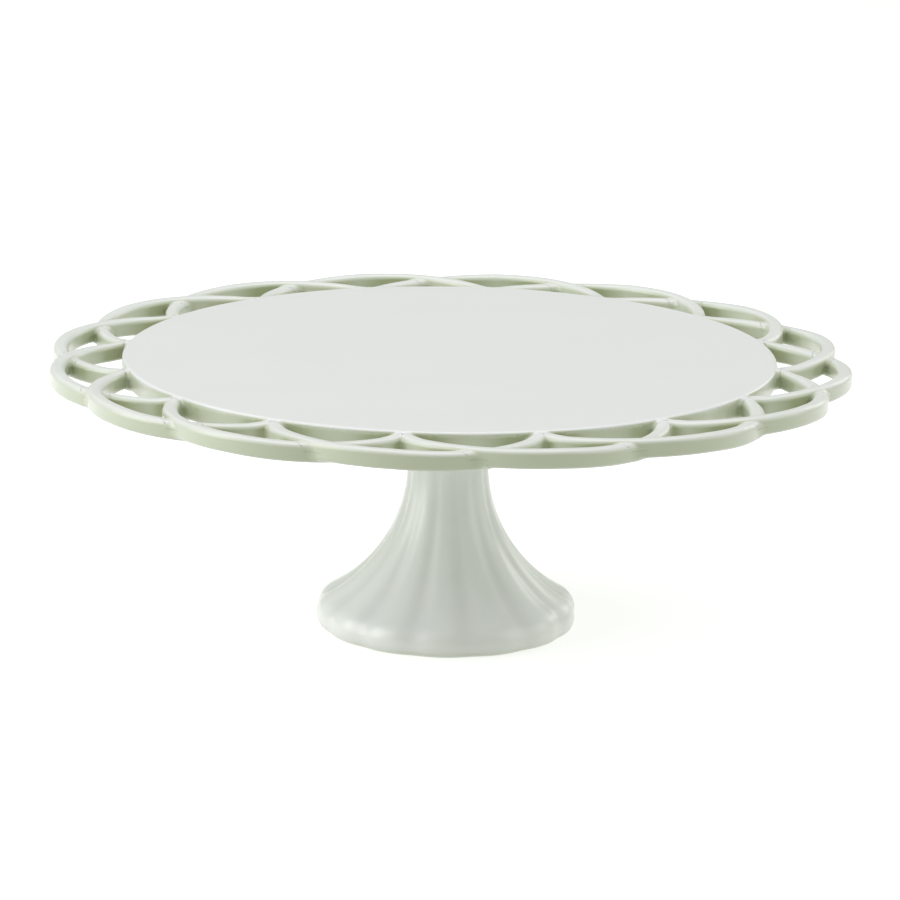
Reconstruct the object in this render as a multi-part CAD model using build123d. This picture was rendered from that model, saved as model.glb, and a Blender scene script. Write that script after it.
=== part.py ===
from build123d import *
from math import atan, cos, degrees, pi, radians, sin, sqrt
import os

os.makedirs("parts", exist_ok=True)

# A round glazed-ceramic cake stand: a flat plate with an openwork rim of
# interlaced strands, on a hollow, softly fluted trumpet pedestal.
# Millimetres.  The origin is on the stand's axis, on the surface it rests on,
# and +Z is up.  Angles run anticlockwise from +X, seen from above.

# Whole stand
STAND_HEIGHT = 111.0

# Plate
PLATE_EDGE_R = 130.5        # the vertical wall that the rim strands butt against
LEDGE_WIDTH = 1.6           # from that wall in to the raised flat
LEDGE_DROP = 1.2            # how far the ledge lies below the raised flat
PLATE_EDGE_THICK = 8.0
PLATE_CENTRE_THICK = 10.0   # the underside swells towards the pedestal
SWELL_INSET = 18.5          # level underside inside the plate's wall
SEAT_LEVEL_WIDTH = 17.2     # level underside around the pedestal's seat

# Openwork rim
LOOP_COUNT = 16             # each loop spans two pitches
LACE_REACH = 29.2           # from the plate's wall out to the rim's peaks
LACE_RISE = 1.2             # the rim's peaks lie this much above its roots
STRAND_WIDTH = 6.0
STRAND_DEPTH = 7.0
STRAND_EDGE_R = 1.4
LAP_LIFT = 0.5              # a strand rides this much high where it passes over
VERTEX_ANGLE = 15.2         # a point where two strands meet on the plate's wall

# Pedestal
FOOT_R = 52.3               # widest, at the lip
LIP_ROUND_R = 8.0
LIP_CENTRE_Z = 4.6
FOOT_RING_WIDTH = 8.3       # flat ring under the lip, from its widest inwards
NECK_R = 16.3
NECK_STRAIGHT = 15.0
HEAD_R = 26.0
HEAD_FLARE_R = 25.0
PEDESTAL_WALL = 4.5

# Flutes of the pedestal
FLUTE_COUNT = 14
FLUTE_ANGLE = 268.6         # the crest of one flute
FLUTE_RISE_FOOT = 1.0       # crest and valley stand this far off the mean there
FLUTE_RISE_NECK = 0.15
FLUTE_FADE = 0.8
FLUTE_SHARE_LIP = 0.4       # share of that rise left at the very bottom
FLUTE_FULL_Z = 13.0         # the whole rise stands from this height up
VALLEY_SHARPNESS = 0.22     # above zero, valleys are narrower than crests
POINTS_PER_FLUTE = 4

# Luted joint between plate and pedestal
LUTE_THICK = 1.0
LUTE_OVERHANG = 0.8         # the ring stands out this far past the pedestal's head
LUTE_INSET = 0.6            # and stays this far back from the head's bore

# Heights that follow from the values above
PEDESTAL_TOP_Z = STAND_HEIGHT - PLATE_CENTRE_THICK
SEAT_Z = PEDESTAL_TOP_Z + LUTE_THICK
LEDGE_Z = STAND_HEIGHT - LEDGE_DROP
PLATE_EDGE_BOTTOM_Z = STAND_HEIGHT - PLATE_EDGE_THICK
LACE_MID_Z = LEDGE_Z - STRAND_DEPTH / 2

# The loops are circles in plan, through two plate-edge points and one peak
PITCH = 360 / LOOP_COUNT
PEAK_LINE_R = PLATE_EDGE_R + LACE_REACH - STRAND_WIDTH / 2
EDGE_POINT_X = PLATE_EDGE_R * cos(radians(PITCH))
LOOP_CENTRE_R = (PEAK_LINE_R**2 - PLATE_EDGE_R**2) / (2 * (PEAK_LINE_R - EDGE_POINT_X))
LOOP_R = PEAK_LINE_R - LOOP_CENTRE_R

# Neighbouring loops cross halfway between two peaks
HALF_STEP = LOOP_CENTRE_R * sin(radians(PITCH / 2))
CROSSING_R = LOOP_CENTRE_R * cos(radians(PITCH / 2)) + sqrt(LOOP_R**2 - HALF_STEP**2)
CROSSING_OFFSET = CROSSING_R * sin(radians(PITCH / 2))
LOOP_TILT = degrees(atan(LAP_LIFT / CROSSING_OFFSET))
RIM_SLOPE = LACE_RISE / (PEAK_LINE_R - EDGE_POINT_X)
LAP_Z = LACE_MID_Z + RIM_SLOPE * (CROSSING_R * cos(radians(PITCH / 2)) - EDGE_POINT_X)

# The pedestal's outline: lip arc, trumpet arc, straight neck, head arc
FOOT_RING_INNER_R = FOOT_R - FOOT_RING_WIDTH
HEAD_FLARE_HEIGHT = sqrt(HEAD_FLARE_R**2 - (HEAD_FLARE_R - HEAD_R + NECK_R) ** 2)
HEAD_START_Z = PEDESTAL_TOP_Z - HEAD_FLARE_HEIGHT
TRUMPET_TOP_Z = HEAD_START_Z - NECK_STRAIGHT
LIP_CENTRE_R = FOOT_R - LIP_ROUND_R
LIP_TO_NECK = NECK_R - LIP_CENTRE_R
LIP_TO_TOP = TRUMPET_TOP_Z - LIP_CENTRE_Z
TRUMPET_R = (LIP_TO_NECK**2 + LIP_TO_TOP**2 - LIP_ROUND_R**2) / (2 * (LIP_ROUND_R - LIP_TO_NECK))
TRUMPET_CENTRE_R = NECK_R + TRUMPET_R
TANGENT_SHARE = LIP_ROUND_R / (LIP_ROUND_R + TRUMPET_R)
LIP_TOP_Z = LIP_CENTRE_Z + TANGENT_SHARE * LIP_TO_TOP

# Cutting tools reach well past the stand
FAR = 2 * (PLATE_EDGE_R + LACE_REACH)


def outline_r(z):
    """Mean outer radius of the pedestal at a height."""
    if z < LIP_TOP_Z:
        return LIP_CENTRE_R + sqrt(LIP_ROUND_R**2 - (z - LIP_CENTRE_Z) ** 2)
    if z < TRUMPET_TOP_Z:
        return TRUMPET_CENTRE_R - sqrt(TRUMPET_R**2 - (TRUMPET_TOP_Z - z) ** 2)
    if z < HEAD_START_Z:
        return NECK_R
    return NECK_R + HEAD_FLARE_R - sqrt(HEAD_FLARE_R**2 - (z - HEAD_START_Z) ** 2)


def flute_rise(z):
    """How far the flutes stand off the mean outline at a height."""
    if z > HEAD_START_Z:
        left = (PEDESTAL_TOP_Z - z) / (PEDESTAL_TOP_Z - HEAD_START_Z)
        return FLUTE_RISE_NECK * left
    spread = max(0.0, (outline_r(z) - NECK_R) / (FOOT_R - NECK_R))
    full = FLUTE_RISE_NECK + (FLUTE_RISE_FOOT - FLUTE_RISE_NECK) * spread**FLUTE_FADE
    return full * (FLUTE_SHARE_LIP + (1 - FLUTE_SHARE_LIP) * min(1.0, z / FLUTE_FULL_Z))


def fluted_section(z):
    """Closed horizontal outline of the pedestal at a height, as a face."""
    count = FLUTE_COUNT * POINTS_PER_FLUTE
    points = []
    for step in range(count):
        turn = 2 * pi * step / count
        phase = FLUTE_COUNT * turn
        wave = cos(phase) - VALLEY_SHARPNESS * cos(2 * phase)
        r = outline_r(z) + flute_rise(z) * wave
        angle = turn + radians(FLUTE_ANGLE)
        points.append((r * cos(angle), r * sin(angle), z))
    return make_face(Wire([Edge.make_spline([Vector(*p) for p in points], periodic=True)]))


def station_heights():
    """Heights of the lofted sections, closer together where the outline turns."""
    lip = [LIP_CENTRE_Z * share for share in (0.0, 0.35, 0.7, 1.0)]
    shoulder = [LIP_CENTRE_Z + (LIP_TOP_Z - LIP_CENTRE_Z) * share for share in (0.45, 0.8, 1.0)]
    rise = TRUMPET_TOP_Z - LIP_TOP_Z
    trumpet = [LIP_TOP_Z + rise * share for share in (0.05, 0.12, 0.21, 0.33, 0.48, 0.65, 0.82, 1.0)]
    neck = [TRUMPET_TOP_Z + NECK_STRAIGHT / 2, HEAD_START_Z]
    head = [HEAD_START_Z + HEAD_FLARE_HEIGHT * share for share in (0.3, 0.55, 0.8, 1.0)]
    return lip + shoulder + trumpet + neck + head


def bore_point(z):
    """Point of the hollow's wall at a height, one wall inside the mean outline."""
    if z < TRUMPET_TOP_Z:
        inside = TRUMPET_R + PEDESTAL_WALL
        return (TRUMPET_CENTRE_R - sqrt(inside**2 - (TRUMPET_TOP_Z - z) ** 2), z)
    inside = HEAD_FLARE_R + PEDESTAL_WALL
    above = max(0.0, z - HEAD_START_Z)
    return (NECK_R + HEAD_FLARE_R - sqrt(inside**2 - above**2), z)


def pedestal_bore():
    """Solid of the pedestal's hollow: foot ring, trumpet, neck and head."""
    reach = TRUMPET_CENTRE_R - FOOT_RING_INNER_R
    ring_top_z = TRUMPET_TOP_Z - sqrt((TRUMPET_R + PEDESTAL_WALL) ** 2 - reach**2)
    ring_top = bore_point(ring_top_z)
    neck_low = (NECK_R - PEDESTAL_WALL, TRUMPET_TOP_Z)
    neck_high = bore_point(HEAD_START_Z)
    head_top = bore_point(PEDESTAL_TOP_Z)
    with BuildPart() as bore:
        with BuildSketch(Plane.XZ):
            with BuildLine():
                Polyline((0, 0), (FOOT_RING_INNER_R, 0), ring_top)
                ThreePointArc(ring_top, bore_point((ring_top_z + TRUMPET_TOP_Z) / 2), neck_low)
                Line(neck_low, neck_high)
                ThreePointArc(neck_high, bore_point((HEAD_START_Z + PEDESTAL_TOP_Z) / 2), head_top)
                Polyline(head_top, (0, PEDESTAL_TOP_Z), (0, 0))
            make_face()
        revolve(axis=Axis.Z)
    return bore.part


def pedestal():
    """Hollow fluted trumpet, open below for the cast and above under the plate."""
    body = loft([fluted_section(z) for z in station_heights()])
    return body - pedestal_bore()


def luting_ring():
    """Flat ring of fired slip that joins the pedestal's head to the plate."""
    outer = HEAD_R + LUTE_OVERHANG
    inner = bore_point(PEDESTAL_TOP_Z)[0] + LUTE_INSET
    ring = extrude(Circle(outer) - Circle(inner), amount=LUTE_THICK)
    return Pos(0, 0, PEDESTAL_TOP_Z) * ring


def plate_disc():
    """Plate with a raised flat, a ledge at rim level and a swelling underside."""
    flat_r = PLATE_EDGE_R - LEDGE_WIDTH
    seat_r = HEAD_R + LUTE_OVERHANG
    swell_end = (seat_r + SEAT_LEVEL_WIDTH, PEDESTAL_TOP_Z)
    swell_start = (PLATE_EDGE_R - SWELL_INSET, PLATE_EDGE_BOTTOM_Z)
    ledge_end = (flat_r + LEDGE_DROP, LEDGE_Z)
    roll_middle = (flat_r + LEDGE_DROP * sin(pi / 4), LEDGE_Z + LEDGE_DROP * sin(pi / 4))
    with BuildPart() as plate:
        with BuildSketch(Plane.XZ):
            with BuildLine():
                Polyline((0, SEAT_Z), (seat_r, SEAT_Z), (seat_r, PEDESTAL_TOP_Z), swell_end)
                Spline(swell_end, swell_start, tangents=[(1, 0), (1, 0)])
                Polyline(
                    swell_start,
                    (PLATE_EDGE_R, PLATE_EDGE_BOTTOM_Z),
                    (PLATE_EDGE_R, LEDGE_Z),
                )
                Line((PLATE_EDGE_R, LEDGE_Z), ledge_end)
                ThreePointArc(ledge_end, roll_middle, (flat_r, STAND_HEIGHT))
                Polyline((flat_r, STAND_HEIGHT), (0, STAND_HEIGHT), (0, SEAT_Z))
            make_face()
        revolve(axis=Axis.Z)
    return plate.part


def loop_ring(angle):
    """Whole tilted ring that one rim strand is a part of, peaking at an angle."""
    section = Plane.XZ * Pos(LOOP_R, 0) * RectangleRounded(STRAND_WIDTH, STRAND_DEPTH, STRAND_EDGE_R)
    ring = revolve(section, Axis.Z)
    tilted = Pos(LOOP_CENTRE_R - EDGE_POINT_X, 0) * Rot(X=-LOOP_TILT) * ring
    rising = Rot(Y=-degrees(atan(RIM_SLOPE))) * tilted
    return Rot(Z=angle) * Pos(EDGE_POINT_X, 0, LACE_MID_Z) * rising


def rim_strand():
    """One strand, peaking on +X, lapped over one neighbour and under the other."""
    side_x = FAR * cos(radians(PITCH))
    side_y = FAR * sin(radians(PITCH))
    wedge = Polyline((0, 0), (side_x, -side_y), (side_x, side_y), close=True)
    sector = extrude(make_face(wedge), amount=STAND_HEIGHT + STRAND_DEPTH)
    below = Pos(0, 0, LAP_Z - FAR) * Box(2 * FAR, 2 * FAR, 2 * FAR)
    above = Pos(0, 0, LAP_Z + FAR) * Box(2 * FAR, 2 * FAR, 2 * FAR)
    plate_hole = Cylinder(PLATE_EDGE_R, FAR)
    strand = (loop_ring(0) & sector) - plate_hole
    strand = strand - (loop_ring(-PITCH) & below)
    return strand - (loop_ring(PITCH) & above)


export_step(plate_disc(), "parts/plate_disc.step")
export_step(pedestal(), "parts/pedestal.step")
export_step(luting_ring(), "parts/luting_ring.step")

STRAND = rim_strand()
for number in range(LOOP_COUNT):
    peak_angle = VERTEX_ANGLE + number * PITCH
    export_step(Rot(Z=peak_angle) * STRAND, f"parts/rim_loop_{number + 1:02d}.step")
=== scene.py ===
from math import ceil, cos, pi, radians, sin, sqrt

import bmesh
import bpy
import numpy as np
import openvdb
from mathutils import Matrix, Vector


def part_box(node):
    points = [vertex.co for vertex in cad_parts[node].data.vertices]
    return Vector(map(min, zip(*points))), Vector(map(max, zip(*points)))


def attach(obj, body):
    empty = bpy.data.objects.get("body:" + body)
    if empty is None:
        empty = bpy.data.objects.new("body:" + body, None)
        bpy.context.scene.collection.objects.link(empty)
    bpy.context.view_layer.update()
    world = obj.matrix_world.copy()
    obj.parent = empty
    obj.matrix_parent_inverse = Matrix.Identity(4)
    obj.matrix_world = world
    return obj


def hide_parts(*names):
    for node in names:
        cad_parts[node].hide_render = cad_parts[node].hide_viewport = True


# A celadon-glazed cake stand: plate, interlaced rim strands, luting ring and
# fluted pedestal.  Shapes are worked out in millimetres on the stand's axis,
# and every mesh is made in metres.  Angles run anticlockwise from +X.

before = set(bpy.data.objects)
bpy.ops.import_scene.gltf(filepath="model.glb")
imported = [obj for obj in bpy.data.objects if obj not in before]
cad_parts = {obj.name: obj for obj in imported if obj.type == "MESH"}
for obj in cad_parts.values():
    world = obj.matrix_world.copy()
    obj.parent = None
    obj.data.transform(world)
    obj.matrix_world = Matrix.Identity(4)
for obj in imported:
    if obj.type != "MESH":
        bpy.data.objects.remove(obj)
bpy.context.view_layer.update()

MM = 0.001


def box_mm(node):
    """Lowest and highest corner of a CAD node, in millimetres."""
    low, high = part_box(node)
    return [v / MM for v in low], [v / MM for v in high]


PLATE_LOW, PLATE_HIGH = box_mm("plate_disc")
LUTE_LOW, LUTE_HIGH = box_mm("luting_ring")
RIM_NODES = sorted(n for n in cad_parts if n.startswith("rim_loop"))

# Plate.  Its underside swells from the edge's thickness to the seat's level.
WALL_R = PLATE_HIGH[0]
TOP_Z = PLATE_HIGH[2]
SEAT_LEVEL_Z = PLATE_LOW[2]
SEAT_R = LUTE_HIGH[0]
SEAT_ROOF_Z = LUTE_HIGH[2]
EDGE_R = WALL_R - 0.5
LEDGE_Z = TOP_Z - 1.2
EDGE_BOTTOM_Z = TOP_Z - 8.0
SWELL_FROM_R = WALL_R - 18.5
SWELL_TO_R = SEAT_R + 17.2
EDGE_ROLL = 1.3

# Rim strands
PITCH = 2 * pi / len(RIM_NODES)
PEAK_ANGLE = radians(15.2)
STRAND_WIDTH = 6.0
STRAND_DEPTH = 7.0
TOP_ROLL = 2.1
BOTTOM_ROLL = 1.3
RIM_RISE = 1.2
RIM_REACH = 29.17
LAP_RISE = 0.34
LAP_DIP = 0.85
ROOT_RISE = 0.6
ROOT_RISE_SPAN = 7.0
ROOT_DEPTH = 2.5
PEAK_R = WALL_R + RIM_REACH - STRAND_WIDTH / 2
ROOT_X = WALL_R * cos(PITCH)
LOOP_X = (PEAK_R**2 - WALL_R**2) / (2 * (PEAK_R - ROOT_X))
LOOP_R = PEAK_R - LOOP_X
HALF_STEP = LOOP_X * sin(PITCH / 2)
CROSS_R = LOOP_X * cos(PITCH / 2) + sqrt(LOOP_R**2 - HALF_STEP**2)
STRAND_Z = LEDGE_Z - STRAND_DEPTH / 2
RIM_SLOPE = RIM_RISE / (PEAK_R - ROOT_X)
LAP_Z = STRAND_Z + RIM_SLOPE * (CROSS_R * cos(PITCH / 2) - ROOT_X)

# How softly the glaze rounds the inner corners, and how far below the top it does
ROOT_BLEND = 2.8
LAP_BLEND = 2.0
FORK_BLEND = 1.2
TOP_BLEND = 0.6
BLEND_START_DROP = 0.6
BLEND_FULL_DROP = 3.6

# Where the pieces part: stubs of the strands stay on the plate, each strand keeps
# the glaze within BAND of its middle line, and neighbours overlap by LAP_OVER
STUB_R = WALL_R + 1.1
BAND = STRAND_WIDTH / 2 + 2.4
LAP_OVER = 0.04

# Points closer than WELD are made one; points within NEAR_SKIN lie on the glaze
WELD = 0.03
NEAR_SKIN = 0.15

# Mesh fineness, the thinning allowed on the plate's broad faces, and spare room
PLATE_VOXEL = 0.6
PLATE_THINNING = 0.003
RIM_VOXEL = 0.5
SPARE = 3.0
CLEAR = 5.0

# Depth of tone, the glaze's own on flats and painted shade beyond: more on walls, more
# on walls facing -Y, on strands, and in corners, full once the share below is closed in
FLAT_DEPTH = 0.36
WALL_SHADE_DEPTH = 0.07
SIDE_SHADE_DEPTH = 0.24
STRAND_SHADE_DEPTH = 0.09
CREVICE_SHADE_DEPTH = 0.27
CREVICE_SHADE_FULL = 0.4
CREVICE_SHADE_REACHES = (2.0, 4.5, 9.0)
SIDE_SHADE_POWER = 1.5

# A face is glaze when its middle lies within SKIN of the field's surface and it
# faces the field's way, or is a sliver too small to tell
SKIN = 0.09
FACING = 0.3
SLIVER_AREA = 0.03


def soft_union(a, b, reach):
    """Union of two distance fields with the corner between them filled."""
    share = np.clip(0.5 + 0.5 * (b - a) / reach, 0.0, 1.0)
    return b + (a - b) * share - reach * share * (1 - share)


def rolled_corner(out_a, out_b, roll):
    """Distance to a convex corner of two faces, rounded by roll."""
    qa = out_a + roll
    qb = out_b + roll
    outside = np.hypot(np.maximum(qa, 0), np.maximum(qb, 0))
    return outside + np.minimum(np.maximum(qa, qb), 0) - roll


def smooth_step(value, start, stop):
    """Soft share from 0 at start to 1 at stop."""
    t = np.clip((value - start) / (stop - start), 0, 1)
    return t * t * (3 - 2 * t)


def blend_reach(full, z):
    """How far the glaze fills a corner at a height: hardly at all on the tops."""
    below_top = smooth_step(TOP_Z - z, BLEND_START_DROP, BLEND_FULL_DROP)
    return TOP_BLEND + (full - TOP_BLEND) * below_top


def plate_field(r, z):
    """Distance to the plate by itself, with its seat recess."""
    swell = 1 - smooth_step(r, SWELL_TO_R, SWELL_FROM_R)
    bottom = EDGE_BOTTOM_Z + (SEAT_LEVEL_Z - EDGE_BOTTOM_Z) * swell
    above = rolled_corner(r - EDGE_R, z - TOP_Z, EDGE_ROLL)
    below = rolled_corner(r - EDGE_R, bottom - z, BOTTOM_ROLL)
    seat = np.maximum(r - SEAT_R, z - SEAT_ROOF_Z)
    return np.maximum(np.maximum(above, below), -seat)


def strand_field(r, turn, z):
    """Distance to one strand that peaks at turn 0."""
    x = r * np.cos(turn)
    y = r * np.sin(turn)
    across = np.abs(np.hypot(x - LOOP_X, y) - LOOP_R) - STRAND_WIDTH / 2
    wave = -np.sin(pi * np.clip(turn / PITCH, -1, 1))
    lift = np.where(wave > 0, LAP_RISE, LAP_DIP) * wave
    lift = lift + ROOT_RISE * (1 - smooth_step(r, WALL_R, WALL_R + ROOT_RISE_SPAN))
    up = z - STRAND_Z - lift - RIM_SLOPE * np.maximum(x - ROOT_X, 0)
    top = rolled_corner(across, up - STRAND_DEPTH / 2, TOP_ROLL)
    bottom = rolled_corner(across, -up - STRAND_DEPTH / 2, BOTTOM_ROLL)
    inside = WALL_R - ROOT_DEPTH - r
    return np.maximum(np.maximum(top, bottom), inside)


def top_field(p):
    """Distance to plate and rim together, glazed over, at points in millimetres."""
    x, y, z = p[..., 0], p[..., 1], p[..., 2]
    r = np.hypot(x, y)
    turn = np.arctan2(y, x) - PEAK_ANGLE
    turn = (turn + PITCH / 2) % PITCH - PITCH / 2
    here = strand_field(r, turn, z)
    over = strand_field(r, turn - PITCH, z)
    under = strand_field(r, turn + PITCH, z)
    lap = blend_reach(LAP_BLEND, z)
    root = blend_reach(ROOT_BLEND, z)
    fork = blend_reach(FORK_BLEND, z)
    rim = soft_union(here, soft_union(over, under, fork), lap)
    return soft_union(plate_field(r, z), rim, root)


def gradient(field, p, step=0.05):
    """Unit outward direction of a field at points."""
    parts = []
    for axis in range(3):
        shift = np.zeros(3)
        shift[axis] = step
        parts.append(field(p + shift) - field(p - shift))
    g = np.stack(parts, -1)
    return g / np.maximum(np.linalg.norm(g, axis=-1, keepdims=True), 1e-9)


# Hand-made waviness: a few long, shallow waves through the whole stand
WAVES = [
    (Vector((1.0, 0.35, 0.2)), 71.0, 0.4, 0.042),
    (Vector((-0.3, 1.0, 0.5)), 53.0, 1.7, 0.033),
    (Vector((0.8, -0.7, 0.9)), 37.0, 2.9, 0.027),
    (Vector((-0.6, -0.5, 1.2)), 29.0, 5.1, 0.018),
    (Vector((0.2, 0.9, -1.0)), 19.0, 3.6, 0.012),
]


def waviness(p):
    """Height of the waves at points, and its slope, in millimetres."""
    height = np.zeros(p.shape[:-1])
    slope = np.zeros(p.shape)
    for direction, length, start, size in WAVES:
        d = np.array(direction.normalized()) * 2 * pi / length
        phase = p @ d + start
        height += size * np.sin(phase)
        slope += (size * np.cos(phase))[..., None] * d
    return height, slope


def starts(counts):
    """Where each run begins, from the lengths of the runs."""
    return np.concatenate([[0], np.cumsum(counts)[:-1]])


def mesh_object(name, points, faces, normals=None):
    """Object from points in millimetres, faces as index lists and corner normals."""
    mesh = bpy.data.meshes.new(name)
    counts = np.array([len(f) for f in faces], dtype=np.int32)
    corners = np.concatenate([np.asarray(f) for f in faces]).astype(np.int32)
    mesh.vertices.add(len(points))
    mesh.vertices.foreach_set("co", (np.asarray(points) * MM).astype(np.float32).ravel())
    mesh.loops.add(len(corners))
    mesh.loops.foreach_set("vertex_index", corners)
    mesh.polygons.add(len(counts))
    mesh.polygons.foreach_set("loop_start", starts(counts).astype(np.int32))
    mesh.update(calc_edges=True)
    mesh.validate()
    mesh.polygons.foreach_set("use_smooth", np.ones(len(mesh.polygons), dtype=bool))
    if normals is not None:
        mesh.normals_split_custom_set(normals.tolist())
    piece = bpy.data.objects.new(name, mesh)
    bpy.context.scene.collection.objects.link(piece)
    return piece


def level_mesh(name, field, low, high, voxel, thin=0.0):
    """Closed mesh of a field's zero surface inside a box, in millimetres."""
    steps = [ceil((high[i] - low[i]) / voxel) + 1 for i in range(3)]
    axes = [low[i] + voxel * np.arange(steps[i]) for i in range(3)]
    limit = 3 * voxel
    values = np.full([len(a) for a in axes], limit, dtype=np.float32)
    centre = (np.array(low) + np.array(high)) / 2
    half = (np.array(high) - np.array(low)) / 2 - 2 * voxel
    for index, x in enumerate(axes[0]):
        y, z = np.meshgrid(axes[1], axes[2], indexing="ij")
        p = np.stack([np.full_like(y, x), y, z], -1)
        inside = np.max(np.abs(p - centre) - half, axis=-1)
        values[index] = np.clip(np.maximum(field(p), inside), -limit, limit)
    grid = openvdb.FloatGrid(limit)
    grid.copyFromArray(values)
    points, triangles, quads = grid.convertToPolygons(0.0, thin)
    points = points * voxel + np.array(low)
    return mesh_object(name, points, list(triangles[:, ::-1]) + list(quads[:, ::-1]))


def prism(name, outline, low, high):
    """Closed upright prism of an outline, a list of points in millimetres."""
    count = len(outline)
    points = [(x, y, low) for x, y in outline] + [(x, y, high) for x, y in outline]
    faces = [list(range(count))[::-1], list(range(count, 2 * count))]
    for k in range(count):
        n = (k + 1) % count
        faces.append([k, n, count + n, count + k])
    return mesh_object(name, points, faces)


def turned(outline, angle):
    """An outline turned about the axis."""
    c, s = cos(angle), sin(angle)
    return [(x * c - y * s, x * s + y * c) for x, y in outline]


def band_outline(angle):
    """Outline of the band that a strand peaking at an angle lies in."""
    sweep = radians(88)
    steps = 176
    angles = [-sweep + 2 * sweep * k / steps for k in range(steps + 1)]

    def arc(radius):
        return [(LOOP_X + radius * cos(a), radius * sin(a)) for a in angles]

    return turned(arc(LOOP_R + BAND) + arc(LOOP_R - BAND)[::-1], angle)


def circle_outline(radius):
    steps = 1440
    turns = [2 * pi * k / steps for k in range(steps)]
    return [(radius * cos(turn), radius * sin(turn)) for turn in turns]


def cut(piece, tool, how):
    """Keeps what a closed tool leaves of a closed piece, and drops the tool."""
    modifier = piece.modifiers.new("cut", "BOOLEAN")
    modifier.operation = how
    modifier.solver = "MANIFOLD"
    modifier.object = tool
    bpy.context.view_layer.update()
    graph = bpy.context.evaluated_depsgraph_get()
    result = bpy.data.meshes.new_from_object(piece.evaluated_get(graph))
    piece.modifiers.remove(modifier)
    spent = piece.data
    piece.data = result
    bpy.data.meshes.remove(spent)
    bpy.data.objects.remove(tool)


def without_flaps(faces):
    """Triangles, less the pairs that lie back to back and less plain repeats."""
    lowest = np.argmin(faces, axis=1)[:, None]
    second, third = [np.take_along_axis(faces, (lowest + k) % 3, 1) for k in (1, 2)]
    way = np.where(second < third, 1, -1)[:, 0]
    sets = np.sort(faces, axis=1)
    kept, first, same = np.unique(sets, axis=0, return_index=True, return_inverse=True)
    net = np.zeros(len(kept))
    np.add.at(net, same.ravel(), way)
    out = faces[first]
    flip = np.sign(net) != way[first]
    out[flip] = out[flip][:, ::-1]
    return out[net != 0]


def arrays(piece, field):
    """Points in millimetres, drawn onto the field's surface, and three-cornered faces."""
    mesh = piece.data
    work = bmesh.new()
    work.from_mesh(mesh)
    bmesh.ops.remove_doubles(work, verts=work.verts, dist=WELD * MM)
    bmesh.ops.triangulate(work, faces=work.faces, quad_method="SHORT_EDGE")
    work.to_mesh(mesh)
    work.free()
    points = np.empty(len(mesh.vertices) * 3, dtype=np.float32)
    mesh.vertices.foreach_get("co", points)
    faces = np.array([p.vertices[:] for p in mesh.polygons])
    points = points.reshape(-1, 3).astype(float) / MM
    bpy.data.objects.remove(piece)
    for _ in range(2):
        away = field(points)
        pull = np.where(np.abs(away) < NEAR_SKIN, away, 0)
        points = points - pull[:, None] * gradient(field, points)
    return points, list(without_flaps(faces))


def shaded_side(out):
    """Share of painted shade by outward direction: most on faces that look to -Y."""
    return np.clip(-out[..., 1], 0, 1) ** SIDE_SHADE_POWER


def glaze_and_shade_depth(field, points, level_out, out):
    """Tone depth at points, 0 palest to 1 darkest: the glaze's own base with painted shade added.
    """
    # Painted shade in corners and openings: darker as other surfaces close in round a point
    crevice_shade = np.zeros(len(points))
    for reach in CREVICE_SHADE_REACHES:
        near = np.clip(1 - field(points + reach * level_out) / reach, 0, 1)
        crevice_shade += near / len(CREVICE_SHADE_REACHES)
    wall = 1 - np.abs(out[:, 2])
    r = np.hypot(points[:, 0], points[:, 1])
    # Painted shade on walls, and more painted shade on walls that face -Y
    depth = FLAT_DEPTH + wall * (WALL_SHADE_DEPTH + SIDE_SHADE_DEPTH * shaded_side(out))
    depth += CREVICE_SHADE_DEPTH * np.minimum(crevice_shade / CREVICE_SHADE_FULL, 1)
    # Painted shade on the rim strands, which come out darker than the plate's top
    depth += STRAND_SHADE_DEPTH * smooth_step(r, WALL_R - 1, WALL_R + 3)
    return np.clip(depth, 0, 1)


def area_vectors(points, corners, first, counts):
    """Area times direction of each face, summed corner by corner."""
    follow = np.arange(1, len(corners) + 1)
    follow[first + counts - 1] = first
    start = np.repeat(points[corners[first]], counts, axis=0)
    a = points[corners] - start
    b = points[corners[follow]] - start
    return np.add.reduceat(np.cross(a, b), first) / 2


def glazed(name, points, faces, angle, field):
    """A piece turned by an angle, with the stand's waviness and true normals."""
    spin = np.array(Matrix.Rotation(angle, 3, "Z"))
    level_out = gradient(field, points)
    out = level_out @ spin.T
    place = points @ spin.T
    height, slope = waviness(place)
    moved = place + height[:, None] * out
    tilted = out - (slope - np.sum(slope * out, -1, keepdims=True) * out)
    tilted /= np.linalg.norm(tilted, axis=-1, keepdims=True)
    counts = np.array([len(f) for f in faces])
    corners = np.concatenate(faces)
    first = starts(counts)
    flat = area_vectors(moved, corners, first, counts)
    area = np.linalg.norm(flat, axis=-1)
    flat /= np.maximum(area, 1e-12)[:, None]
    centre = np.add.reduceat(points[corners], first) / counts[:, None]
    level = np.abs(field(centre)) < SKIN
    mean_out = np.add.reduceat(tilted[corners], first) / counts[:, None]
    agree = np.sum(flat * mean_out, -1) > FACING
    skin = level & (agree | (area < SLIVER_AREA))
    on_skin = np.repeat(skin, counts)[:, None]
    normals = np.where(on_skin, tilted[corners], np.repeat(flat, counts, 0))
    piece = mesh_object(name, moved, faces, normals)
    store_depth(piece, glaze_and_shade_depth(field, points, level_out, out))
    return piece


def store_depth(piece, depth):
    """Keeps the tone depth, the glaze's own and painted shade, with a piece's points, for its
    material.
    """
    layer = piece.data.attributes.new("glaze_and_shade_depth", "FLOAT", "POINT")
    layer.data.foreach_set("value", np.asarray(depth, dtype=np.float32))


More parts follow.
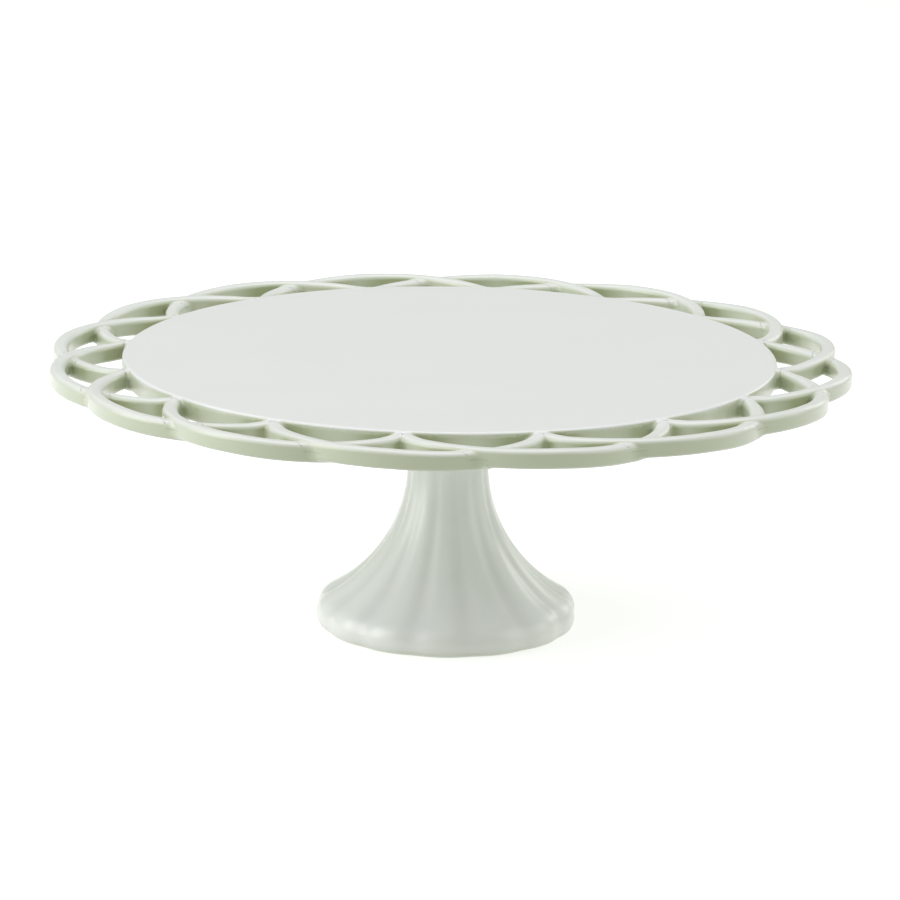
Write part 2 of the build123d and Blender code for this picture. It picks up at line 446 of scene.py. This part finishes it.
def make_plate():
    """Plate with the stubs of the strands on its wall."""
    reach = STUB_R + SPARE
    low = (-reach, -reach, SEAT_LEVEL_Z - SPARE)
    high = (reach, reach, TOP_Z + SPARE)
    whole = level_mesh("plate", top_field, low, high, PLATE_VOXEL, PLATE_THINNING)
    keep = prism("keep", circle_outline(STUB_R), low[2] - CLEAR, high[2] + CLEAR)
    cut(whole, keep, "INTERSECT")
    points, faces = arrays(whole, top_field)
    return glazed("plate_disc_glazed", points, faces, 0.0, top_field)


def strand_shape():
    """Points and faces of one strand that peaks on +X."""

    def field(p):
        x, y = p[..., 0], p[..., 1]
        c, s = cos(PEAK_ANGLE), sin(PEAK_ANGLE)
        return top_field(np.stack([x * c - y * s, x * s + y * c, p[..., 2]], -1))

    reach_y = (WALL_R + 12) * sin(PITCH) + 6
    low = (ROOT_X - 10, -reach_y, EDGE_BOTTOM_Z - 4)
    high = (PEAK_R + STRAND_WIDTH, reach_y, TOP_Z + 4)
    bottom, top = low[2] - CLEAR, high[2] + CLEAR
    piece = level_mesh("strand", field, low, high, RIM_VOXEL)
    far = 2 * PEAK_R
    end = PITCH + LAP_OVER / WALL_R
    wedge = [(0, 0), (far * cos(end), -far * sin(end)), (far * cos(end), far * sin(end))]
    cut(piece, prism("band", band_outline(0.0), bottom, top), "INTERSECT")
    cut(piece, prism("wedge", wedge, bottom, top), "INTERSECT")
    cut(piece, prism("plate", circle_outline(STUB_R - LAP_OVER), bottom, top), "DIFFERENCE")
    cut(piece, prism("next", band_outline(PITCH), LAP_Z + LAP_OVER, top), "DIFFERENCE")
    cut(piece, prism("last", band_outline(-PITCH), bottom, LAP_Z - LAP_OVER), "DIFFERENCE")
    points, faces = arrays(piece, field)
    return points, faces, field


def make_strands():
    """All the strands, each with its own share of the stand's waviness."""
    points, faces, field = strand_shape()
    strands = []
    for number, node in enumerate(RIM_NODES):
        angle = PEAK_ANGLE + number * PITCH
        strands.append(glazed(f"{node}_glazed", points, faces, angle, field))
    return strands


# Pedestal
FOOT_R = 52.3
LIP_ROUND_R = 8.0
LIP_CENTRE_Z = 4.6
LIP_CENTRE_R = FOOT_R - LIP_ROUND_R
FOOT_RING_R = FOOT_R - 8.3
NECK_R = 16.3
NECK_STRAIGHT = 15.0
HEAD_R = 26.0
HEAD_FLARE_R = 25.0
HEAD_Z = SEAT_LEVEL_Z
HEAD_START_Z = HEAD_Z - sqrt(HEAD_FLARE_R**2 - (HEAD_FLARE_R - HEAD_R + NECK_R) ** 2)
TRUMPET_TOP_Z = HEAD_START_Z - NECK_STRAIGHT
LIP_TO_NECK = NECK_R - LIP_CENTRE_R
LIP_TO_TOP = TRUMPET_TOP_Z - LIP_CENTRE_Z
TRUMPET_R = (LIP_TO_NECK**2 + LIP_TO_TOP**2 - LIP_ROUND_R**2) / (2 * (LIP_ROUND_R - LIP_TO_NECK))
TRUMPET_CENTRE_R = NECK_R + TRUMPET_R
TANGENT_SHARE = LIP_ROUND_R / (LIP_ROUND_R + TRUMPET_R)
LIP_TOP_Z = LIP_CENTRE_Z + TANGENT_SHARE * LIP_TO_TOP
WALL = 4.5
FLUTES = 14
FLUTE_ANGLE = radians(268.6)
FLUTE_RISE_FOOT = 1.0
FLUTE_RISE_NECK = 0.15
FLUTE_SHARE_LIP = 0.35
FLUTE_FULL_Z = 14.0
VALLEY_SHARPNESS = 0.22
FLUTE_COLUMNS = 28
OUTLINE_STEP = 0.15
CORNER_SOFTNESS = 0.55
OUTER_GAP = 1.2
HOLLOW_GAP = 2.4
EDGE_GAP = 0.5
# Height and spread of a band of painted shade just above the foot's bottom edge
FOOT_SHADE_Z = 1.4
FOOT_SHADE_SPAN = 1.1


def outer_r(z):
    """Mean outer radius of the pedestal at heights."""
    lip = LIP_CENTRE_R + np.sqrt(np.maximum(LIP_ROUND_R**2 - (z - LIP_CENTRE_Z) ** 2, 0))
    trumpet = TRUMPET_CENTRE_R - np.sqrt(np.maximum(TRUMPET_R**2 - (TRUMPET_TOP_Z - z) ** 2, 0))
    head = NECK_R + HEAD_FLARE_R - np.sqrt(HEAD_FLARE_R**2 - np.maximum(z - HEAD_START_Z, 0) ** 2)
    return np.where(z < LIP_TOP_Z, lip, np.where(z < TRUMPET_TOP_Z, trumpet, head))


def bore_r(z):
    """Radius of the pedestal's hollow at heights."""
    inside = TRUMPET_R + WALL
    trumpet = TRUMPET_CENTRE_R - np.sqrt(np.maximum(inside**2 - (TRUMPET_TOP_Z - z) ** 2, 0))
    inside = HEAD_FLARE_R + WALL
    head = NECK_R + HEAD_FLARE_R - np.sqrt(inside**2 - np.maximum(z - HEAD_START_Z, 0) ** 2)
    return np.where(z < TRUMPET_TOP_Z, np.minimum(trumpet, FOOT_RING_R), head)


def even_loop(points, spacing):
    """Points of a closed outline set out afresh, spacing apart along it."""
    closed = np.vstack([points, points[:1]])
    run = np.concatenate([[0], np.cumsum(np.hypot(*np.diff(closed, axis=0).T))])
    at = np.linspace(0, run[-1], int(run[-1] / spacing), endpoint=False)
    return np.stack([np.interp(at, run, closed[:, k]) for k in range(2)], -1)


def softened(points, spread):
    """A closed outline with evenly spaced points, its corners rounded off."""
    half = len(points) // 2
    count = len(points)
    weight = np.exp(-0.5 * ((np.arange(count) - half) / spread) ** 2)
    weight = np.fft.fft(np.roll(weight / weight.sum(), -half))
    return np.stack([np.fft.ifft(np.fft.fft(points[:, k]) * weight).real for k in range(2)], -1)


def set_out(points, gap):
    """Rows of a closed outline, the gap between them given per point."""
    step = np.hypot(*(np.roll(points, -1, 0) - points).T)
    run = np.concatenate([[0], np.cumsum(step / gap)])
    at = np.linspace(0, run[-1], int(run[-1]), endpoint=False)
    closed = np.vstack([points, points[:1]])
    return np.stack([np.interp(at, run, closed[:, k]) for k in range(2)], -1)


def ring_mesh(name, x, y, z):
    """Closed ring from grids of points: rows round the outline, columns round the axis."""
    rows, columns = x.shape
    row, column = np.meshgrid(np.arange(rows), np.arange(columns), indexing="ij")
    next_row, next_column = (row + 1) % rows, (column + 1) % columns
    corner = [row * columns + column, row * columns + next_column]
    corner += [next_row * columns + next_column, next_row * columns + column]
    faces = np.stack([c.ravel() for c in corner], -1)
    return mesh_object(name, np.stack([x, y, z], -1).reshape(-1, 3), faces)


def make_pedestal():
    """Hollow fluted trumpet with a soft lip and a flat foot ring."""
    up = np.linspace(0, HEAD_Z, 900)
    outer = np.stack([outer_r(up), up], -1)
    hollow = np.stack([bore_r(up), up], -1)[::-1]
    outline = even_loop(np.vstack([outer, hollow]), OUTLINE_STEP)
    outline = softened(outline, CORNER_SOFTNESS / OUTLINE_STEP)
    outline[:, 1] = np.clip(outline[:, 1], 0, HEAD_Z)
    r, z = outline.T
    outside = r > (outer_r(z) + bore_r(z)) / 2
    gap = np.where(outside, OUTER_GAP, HOLLOW_GAP)
    gap = np.where((z < 3.5) | (z > HEAD_Z - 2), EDGE_GAP, gap)
    rows = set_out(outline, gap)
    r, z = rows[:, :1], rows[:, 1:]
    columns = FLUTES * FLUTE_COLUMNS
    turn = 2 * pi * np.arange(columns)[None, :] / columns
    wave = np.cos(FLUTES * turn) - VALLEY_SHARPNESS * np.cos(2 * FLUTES * turn)
    share = np.clip((r - NECK_R) / (FOOT_R - NECK_R), 0, 1)
    rise = FLUTE_RISE_NECK + (FLUTE_RISE_FOOT - FLUTE_RISE_NECK) * share**0.8
    in_head = FLUTE_RISE_NECK * (HEAD_Z - z) / (HEAD_Z - HEAD_START_Z)
    rise = np.where(z > HEAD_START_Z, in_head, rise)
    rise = rise * (FLUTE_SHARE_LIP + (1 - FLUTE_SHARE_LIP) * smooth_step(z, 0, FLUTE_FULL_Z))
    mean_r = (outer_r(z) + bore_r(z)) / 2
    rise = rise * smooth_step(r, mean_r - 1, mean_r + 1)
    full = r + rise * wave
    angle = turn + FLUTE_ANGLE
    x, y = full * np.cos(angle), full * np.sin(angle)
    z = np.broadcast_to(z, x.shape)
    height, slope = waviness(np.stack([x, y, z], -1))
    height = height * smooth_step(z, 0.5, 12) * smooth_step(HEAD_Z - z, 0, 8)
    stretch = 1 + height / full
    piece = ring_mesh("pedestal_glazed", x * stretch, y * stretch, z)
    # Painted shade on the pedestal: a band just above the foot's bottom edge, the side facing -Y
    # towards the foot and the top under the plate; flute crests lighter and valleys darker,
    # painted highlight and shade
    roll = np.exp(-(((z - FOOT_SHADE_Z) / FOOT_SHADE_SPAN) ** 2))
    side_shade = shaded_side(np.stack([x, y, z], -1) / np.hypot(x, y)[..., None])
    side_shade = side_shade * smooth_step(60 - z, 0, 60)
    depth = 0.16 - 0.06 * rise * wave + 0.22 * roll + 0.14 * side_shade
    depth = depth + 0.2 * smooth_step(z, HEAD_Z - 9, HEAD_Z)
    store_depth(piece, depth.ravel())
    return piece


def make_luting_ring():
    """Bead of slip pressed out between plate and pedestal."""
    low, high = LUTE_LOW[2], LUTE_HIGH[2]
    inner, outer = 20.0, LUTE_HIGH[0]
    box = np.array([(inner, low), (outer, low), (outer, high), (inner, high)])
    rows = set_out(softened(even_loop(box, 0.05), 0.28 / 0.05), 0.3)
    r, z = rows[:, :1], rows[:, 1:]
    columns = 288
    turn = 2 * pi * np.arange(columns)[None, :] / columns
    uneven = np.sin(9 * turn + 0.6) + 0.7 * np.sin(23 * turn + 2.1)
    uneven = uneven + 0.5 * np.sin(41 * turn + 4.0)
    full = r - 0.09 * (1.6 + uneven) * smooth_step(r, HEAD_R - 1.5, outer)
    x, y = full * np.cos(turn), full * np.sin(turn)
    piece = ring_mesh("luting_ring_slip", x, y, np.clip(np.broadcast_to(z, x.shape), low, high))
    store_depth(piece, np.full(x.size, 0.6))
    return piece


class Shade:
    """A shader socket that ordinary sums and products work on."""

    tree = None

    def __init__(self, socket):
        self.socket = socket

    @classmethod
    def node(cls, kind, settings=None, values=None, out=0):
        """A new node, its settings made first, then its sockets filled or linked."""
        made = cls.tree.nodes.new(kind)
        for name, value in (settings or {}).items():
            setattr(made, name, value)
        for key, value in (values or {}).items():
            if isinstance(value, Shade):
                cls.tree.links.new(value.socket, made.inputs[key])
            else:
                made.inputs[key].default_value = value
        return Shade(made.outputs[out])

    @classmethod
    def sum_node(cls, operation, *values):
        """A Math node on numbers and sockets."""
        return cls.node("ShaderNodeMath", {"operation": operation}, dict(enumerate(values)))

    def __add__(self, other):
        return self.sum_node("ADD", self, other)

    def __radd__(self, other):
        return self.sum_node("ADD", other, self)

    def __sub__(self, other):
        return self.sum_node("SUBTRACT", self, other)

    def __rsub__(self, other):
        return self.sum_node("SUBTRACT", other, self)

    def __mul__(self, other):
        return self.sum_node("MULTIPLY", self, other)

    def __rmul__(self, other):
        return self.sum_node("MULTIPLY", other, self)

    def ramp(self, low, high, start=0.0, stop=1.0):
        """Soft ramp from start at low to stop at high."""
        settings = {"interpolation_type": "SMOOTHSTEP"}
        values = {0: self, 1: low, 2: high, 3: start, 4: stop}
        return self.node("ShaderNodeMapRange", settings, values)

    def pick(self, first, second):
        """Colour between two, by this share of the second."""
        settings = {"data_type": "RGBA"}
        return self.node("ShaderNodeMix", settings, {0: self, 6: first, 7: second}, 2)


def noise(where, size, detail=2.0, rough=0.5):
    """Cloudy noise with features of a size in millimetres."""
    values = {"Vector": where, "Scale": 1 / (size * MM), "Detail": detail, "Roughness": rough}
    return Shade.node("ShaderNodeTexNoise", {}, values)


def begin_material(name):
    """A new material, its Principled shader, and object-space position."""
    material = bpy.data.materials.new(name)
    material.use_nodes = True
    Shade.tree = material.node_tree
    shader = material.node_tree.nodes["Principled BSDF"]
    where = Shade.node("ShaderNodeTexCoord", out=3)
    return material, shader, where


def drive(shader, name, value):
    """Lets a value work one of the shader's sockets."""
    Shade.tree.links.new(value.socket, shader.inputs[name])


# Glaze colours from palest to darkest, the last two painted shade for walls and corners,
# and the depths between which each gives way to the next
THIN_TONE = (0.82, 0.845, 0.83, 1)
FLAT_TONE = (0.712, 0.722, 0.733, 1)
WALL_SHADE_TONE = (0.50, 0.54, 0.425, 1)
DEEP_SHADE_TONE = (0.33, 0.37, 0.22, 1)
THIN_DEPTH, MIDDLE_DEPTH, FULL_DEPTH = 0.05, 0.35, 0.72


def glaze_and_shade_material():
    """Pale celadon glaze, greener and darker by the stored depth, which carries painted shade."""
    material, shader, where = begin_material("celadon_glaze_and_shade")
    depth = Shade.node("ShaderNodeAttribute", {"attribute_name": "glaze_and_shade_depth"}, out=2)
    facing = Shade.node("ShaderNodeNewGeometry", out=1)
    upright = Shade.node("ShaderNodeSeparateXYZ", {}, {0: facing}, 2)
    clouds = noise(where, 34, 3.0)
    wash = noise(where, 9, 2.0)
    tone_depth = depth + 0.06 * (clouds - 0.5) + 0.04 * (wash - 0.5)
    tone = tone_depth.ramp(THIN_DEPTH, MIDDLE_DEPTH).pick(THIN_TONE, FLAT_TONE)
    # Painted shade: olive on walls, darker olive in corners
    tone = tone_depth.ramp(MIDDLE_DEPTH, FULL_DEPTH).pick(tone, WALL_SHADE_TONE)
    tone = tone_depth.ramp(FULL_DEPTH, 1.0).pick(tone, DEEP_SHADE_TONE)
    height = Shade.node("ShaderNodeSeparateXYZ", {}, {0: where}, 2)
    edge = height + 0.0003 * (wash - 0.5)
    bare = edge.ramp(0.00025, 0.0004, 1.0, 0.0) * (0 - upright).ramp(0.6, 0.9)
    grain = noise(where, 0.5, 3.0)
    clay = grain.pick((0.70, 0.67, 0.61, 1), (0.80, 0.78, 0.73, 1))
    drive(shader, "Base Color", bare.pick(tone, clay))
    gloss = 0.30 + 0.08 * noise(where, 14, 2.0) + 0.4 * bare
    drive(shader, "Roughness", gloss)
    drive(shader, "Coat Weight", 0.45 - 0.45 * bare)
    shader.inputs["Coat Roughness"].default_value = 0.26
    shader.inputs["IOR"].default_value = 1.5
    peel = noise(where, 5, 2.0) + 0.25 * noise(where, 1.4, 2.0) + 2.0 * bare * grain
    values = {"Strength": 0.25, "Distance": 0.0001, "Height": peel}
    drive(shader, "Normal", Shade.node("ShaderNodeBump", {}, values))
    return material


def slip_material():
    """Thin, half-glazed clay slip, a little darker than the glaze."""
    material, shader, where = begin_material("joint_slip")
    blotch = noise(where, 4, 3.0)
    grain = noise(where, 0.6, 3.0)
    tone = blotch.pick((0.60, 0.63, 0.53, 1), (0.70, 0.71, 0.63, 1))
    tone = grain.ramp(0.5, 0.75, 0.0, 0.35).pick(tone, (0.50, 0.50, 0.42, 1))
    drive(shader, "Base Color", tone)
    drive(shader, "Roughness", 0.32 + 0.3 * blotch)
    shader.inputs["Coat Weight"].default_value = 0.3
    values = {"Strength": 0.5, "Distance": 0.0002, "Height": grain + blotch}
    drive(shader, "Normal", Shade.node("ShaderNodeBump", {}, values))
    return material


def place_piece(piece, node, material):
    """Gives a piece its material, hangs it under the root body and hides the CAD node it stands
    for.
    """
    piece.data.materials.append(material)
    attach(piece, "root")
    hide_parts(node)


glaze = glaze_and_shade_material()
place_piece(make_plate(), "plate_disc", glaze)
for node, strand in zip(RIM_NODES, make_strands()):
    place_piece(strand, node, glaze)
place_piece(make_pedestal(), "pedestal", glaze)
place_piece(make_luting_ring(), "luting_ring", slip_material())

# Studio: a pale paper floor, kept out of the light that bounces up to the stand
HALF_FLOOR = 4000
corners = [(-1, -1), (1, -1), (1, 1), (-1, 1)]
floor_points = [(x * HALF_FLOOR, y * HALF_FLOOR, 0) for x, y in corners]
floor = mesh_object("floor", floor_points, [[0, 1, 2, 3]])
floor_material, shader, where = begin_material("floor_paper")
paper = noise(where, 600, 2.0).pick((0.66, 0.66, 0.655, 1), (0.68, 0.68, 0.675, 1))
drive(shader, "Base Color", paper)
shader.inputs["Roughness"].default_value = 0.9
shader.inputs["Emission Color"].default_value = (1, 1, 1, 1)
shader.inputs["Emission Strength"].default_value = 0.5
floor.data.materials.append(floor_material)
floor.visible_diffuse = False


def lamp(name, at, aim, size, power):
    """A soft rectangular lamp, metres and watts."""
    data = bpy.data.lights.new(name, "AREA")
    data.shape = "RECTANGLE"
    data.size, data.size_y = size
    data.energy = power
    item = bpy.data.objects.new(name, data)
    item.location = at
    item.rotation_euler = (Vector(aim) - Vector(at)).to_track_quat("-Z", "Y").to_euler()
    bpy.context.scene.collection.objects.link(item)


lamp("lamp_left", (-1.5, -0.4, 0.85), (0, 0, 0.35), (1.2, 1.8), 23)
lamp("lamp_right", (1.7, -0.3, 0.9), (0, 0, 0.1), (1.8, 1.8), 12)
lamp("lamp_top", (0, 0.3, 1.7), (0, 0, 0.1), (1.8, 1.6), 9.5)
lamp("lamp_back", (1.0, 1.0, 0.6), (0, 0, 0.07), (0.6, 0.8), 2.5)

# Soft room light: dim and greenish at the level of the rim, brighter overhead, and
# a plain pale backdrop where the camera sees past the floor
world = bpy.data.worlds.new("studio")
bpy.context.scene.world = world
world.use_nodes = True
Shade.tree = world.node_tree
toward = Shade.node("ShaderNodeTexCoord", out=0)
upward = Shade.node("ShaderNodeSeparateXYZ", {}, {0: toward}, 2)
low = upward.ramp(-0.45, -0.1).pick((0.80, 0.84, 0.72, 1), (0.40, 0.425, 0.34, 1))
sky = upward.ramp(0.1, 0.7).pick(low, (0.62, 0.63, 0.62, 1))
backdrop = world.node_tree.nodes["Background"]
straight = Shade.node("ShaderNodeLightPath", out=0)
sky = straight.pick(sky, (0.93, 0.935, 0.93, 1))
Shade.tree.links.new(sky.socket, backdrop.inputs[0])
backdrop.inputs[1].default_value = 1.0

# Camera, metres: level view turned down by ELEVATION and tipped by ROLL
TARGET = Vector((0.0007, 0.0, 0.07124))
ELEVATION = radians(14.37)
DISTANCE = 1.5088
ROLL = radians(0.84)
SENSOR_WIDTH = 36
LENS = 150.64
forward = Vector((0, cos(ELEVATION), -sin(ELEVATION)))
level_right = Vector((1, 0, 0))
level_up = level_right.cross(forward)
camera_data = bpy.data.cameras.new("camera")
camera_data.sensor_width = SENSOR_WIDTH
camera_data.lens = LENS
camera = bpy.data.objects.new("camera", camera_data)
right = level_right * cos(ROLL) + level_up * sin(ROLL)
up = level_up * cos(ROLL) - level_right * sin(ROLL)
place = Matrix((right, up, -forward)).transposed().to_4x4()
place.translation = TARGET - forward * DISTANCE
camera.matrix_world = place
bpy.context.scene.collection.objects.link(camera)
bpy.context.scene.camera = camera

bpy.context.scene.view_settings.view_transform = "Standard"
